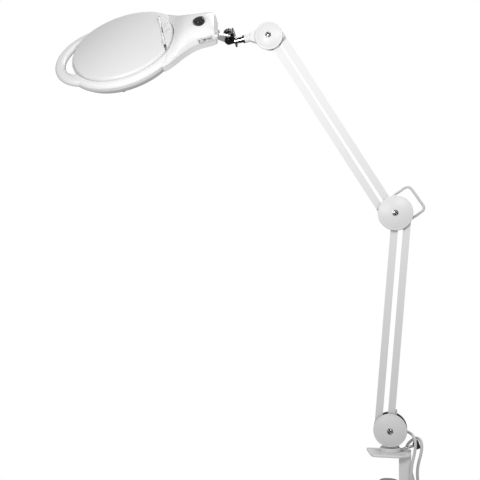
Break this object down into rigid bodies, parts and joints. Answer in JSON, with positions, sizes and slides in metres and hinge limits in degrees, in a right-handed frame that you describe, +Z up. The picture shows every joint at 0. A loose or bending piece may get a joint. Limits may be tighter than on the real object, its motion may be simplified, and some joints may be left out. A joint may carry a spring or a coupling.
{
  "type": "clamp-on magnifying lamp",
  "caption": "Magnifying lamp with a round lens head in a lit ring, a hinged lens cover, a grip loop, sprung parallel arms with round knuckle covers, a table clamp and a cord with a plug.",
  "frame": {"origin": "on the table face under the upper clamp jaw, below the swivel axis of the arm", "axes": "+Z up, the arms swing in the XZ plane, the head points to -X and the front of the knuckles faces -Y"},
  "size_m": [0.6963, 0.1617, 1.1106],
  "materials": {
    "white_paint": "semi-gloss white powder coat",
    "grey_pad": "matt grey pad",
    "steel": "fine turned steel",
    "chrome": "polished plating",
    "cover_plastic": "semi-gloss white moulding",
    "black_plastic": "black moulding",
    "black_gloss": "glossy black moulding",
    "head_plastic": "glossy white moulding",
    "base_plastic": "glossy light grey moulding",
    "lid_plastic": "semi-gloss white moulding",
    "inner_plastic": "matt white moulding",
    "lens_glass": "clear ground glass",
    "diffuser_plastic": "frosted clear plastic",
    "board": "white lacquered board",
    "green_board": "green lacquered board",
    "led": "yellow resin on a white body",
    "cord_white": "matt white flexible sheath",
    "plug_white": "matt white moulding",
    "brass": "plated blades"
  },
  "bodies": {
    "clamp": {"clamp_frame": "white_paint", "jaw_pad": "grey_pad", "swivel_collar": "white_paint", "cord_gland": "cord_white", "cord_run": "cord_white", "cord_coil": "cord_white", "cord_tail": "cord_white", "cord_tie": "black_plastic", "plug_body": "plug_white", "plug_pins": "brass"},
    "lock_screw": {"lock_screw": "black_plastic"},
    "clamp_foot": {"pressure_foot": "white_paint", "pressure_pad": "grey_pad"},
    "clamp_screw": {"clamp_screw": "steel"},
    "clamp_handle": {"clamp_handle": "steel"},
    "base": {"base_bracket": "white_paint", "base_cover_front": "cover_plastic", "base_cover_rear": "cover_plastic", "base_bolt": "chrome", "base_pin": "steel"},
    "lower_main": {"lower_tube_main": "white_paint", "lower_springs": "steel"},
    "lower_aux": {"lower_tube_aux": "white_paint"},
    "elbow": {"elbow_bracket": "white_paint", "elbow_cover_front": "cover_plastic", "elbow_cover_rear": "cover_plastic", "elbow_bolt": "chrome", "elbow_pins": "steel", "elbow_cable": "cord_white"},
    "upper_main": {"upper_tube_main": "white_paint", "upper_springs": "steel"},
    "upper_aux": {"upper_tube_aux": "white_paint"},
    "top": {"top_bracket": "white_paint", "top_cover_front": "cover_plastic", "top_cover_rear": "cover_plastic", "top_bolt": "chrome", "top_pin": "steel"},
    "stem": {"swivel_stem": "chrome", "tilt_bolt": "chrome"},
    "wing_knob": {"wing_knob": "black_plastic"},
    "head": {"neck_bracket": "steel", "head_top_shell": "head_plastic", "neck_top_cover": "head_plastic", "head_bottom_shell": "base_plastic", "neck_bottom_cover": "base_plastic", "lens": "lens_glass", "lens_mount": "inner_plastic", "lens_retainer": "inner_plastic", "led_board": "board", "led_chips": "led", "diffuser": "diffuser_plastic", "board_posts": "inner_plastic", "control_board": "green_board", "button_bezel": "black_gloss", "dimmer_frame": "base_plastic", "lid_hinge_base": "head_plastic", "lid_hinge_pin": "steel"},
    "lens_lid": {"lens_lid": "lid_plastic"},
    "power_button": {"power_button": "black_gloss"},
    "dimmer_slider": {"dimmer_slider": "inner_plastic"}
  },
  "joints": [
    {"name": "lock_screw_turn", "type": "hinge", "parent": "clamp", "child": "lock_screw", "pos_m": [0.017, 0, 0.0082], "axis": [0.9397, 0, 0.342], "continuous": true},
    {"name": "clamp_foot_slide", "type": "slide", "parent": "clamp", "child": "clamp_foot", "axis": [0, 0, 1], "range_m": [-0.01, 0.034]},
    {"name": "clamp_screw_turn", "type": "hinge", "parent": "clamp_foot", "child": "clamp_screw", "pos_m": [-0.003, 0.001, -0.09], "axis": [0, 0, 1], "continuous": true},
    {"name": "clamp_handle_slide", "type": "slide", "parent": "clamp_screw", "child": "clamp_handle", "axis": [0, 1, 0], "range_m": [-0.014, 0.014]},
    {"name": "base_swivel", "type": "hinge", "parent": "clamp", "child": "base", "pos_m": [0, 0, 0.015], "axis": [0, 0, 1], "range_deg": [-150, 150]},
    {"name": "lower_arm", "type": "hinge", "parent": "base", "child": "lower_main", "pos_m": [-0.022, 0, 0.045], "axis": [0, 1, 0], "range_deg": [-49, 40]},
    {"name": "lower_arm_rod", "type": "hinge", "parent": "base", "child": "lower_aux", "pos_m": [0, 0, 0.045], "axis": [0, 1, 0], "range_deg": [-49, 40]},
    {"name": "elbow_level", "type": "hinge", "parent": "lower_main", "child": "elbow", "pos_m": [0.00942, 0, 0.43554], "axis": [0, 1, 0], "range_deg": [-40, 49]},
    {"name": "upper_arm", "type": "hinge", "parent": "elbow", "child": "upper_main", "pos_m": [-0.01258, 0, 0.43554], "axis": [0, 1, 0], "range_deg": [-13, 40]},
    {"name": "upper_arm_rod", "type": "hinge", "parent": "elbow", "child": "upper_aux", "pos_m": [0.00942, 0, 0.43554], "axis": [0, 1, 0], "range_deg": [-13, 40]},
    {"name": "top_level", "type": "hinge", "parent": "upper_main", "child": "top", "pos_m": [-0.22051, 0, 0.76382], "axis": [0, 1, 0], "range_deg": [-40, 13]},
    {"name": "head_swivel", "type": "hinge", "parent": "top", "child": "stem", "pos_m": [-0.29672, 0, 0.75695], "axis": [0.9828, 0, 0.1848], "range_deg": [-138, 41]},
    {"name": "head_tilt", "type": "hinge", "parent": "stem", "child": "head", "pos_m": [-0.29801, 0, 0.76382], "axis": [0.1382, -0.6639, -0.7349], "range_deg": [-35, 60]},
    {"name": "wing_knob_turn", "type": "hinge", "parent": "stem", "child": "wing_knob", "pos_m": [-0.29801, 0, 0.76382], "axis": [0.1382, -0.6639, -0.7349], "continuous": true},
    {"name": "lid_hinge", "type": "hinge", "parent": "head", "child": "lens_lid", "pos_m": [-0.42267, -0.0233, 0.77973], "axis": [-0.3051, 0.654, 0.6922], "range_deg": [0, 95]},
    {"name": "power_press", "type": "slide", "parent": "head", "child": "power_button", "axis": [0.1227, 0.7478, -0.6525], "range_m": [0, 0.0015], "stiffness_N_per_m": 600},
    {"name": "dimmer_slide", "type": "slide", "parent": "head", "child": "dimmer_slider", "axis": [0.9828, 0, 0.1848], "range_m": [0, 0.014]}
  ],
  "couplings": [
    {"joint": "lower_arm_rod", "follows": "lower_arm", "ratio": 1},
    {"joint": "elbow_level", "follows": "lower_arm", "ratio": -1},
    {"joint": "upper_arm_rod", "follows": "upper_arm", "ratio": 1},
    {"joint": "top_level", "follows": "upper_arm", "ratio": -1}
  ]
}
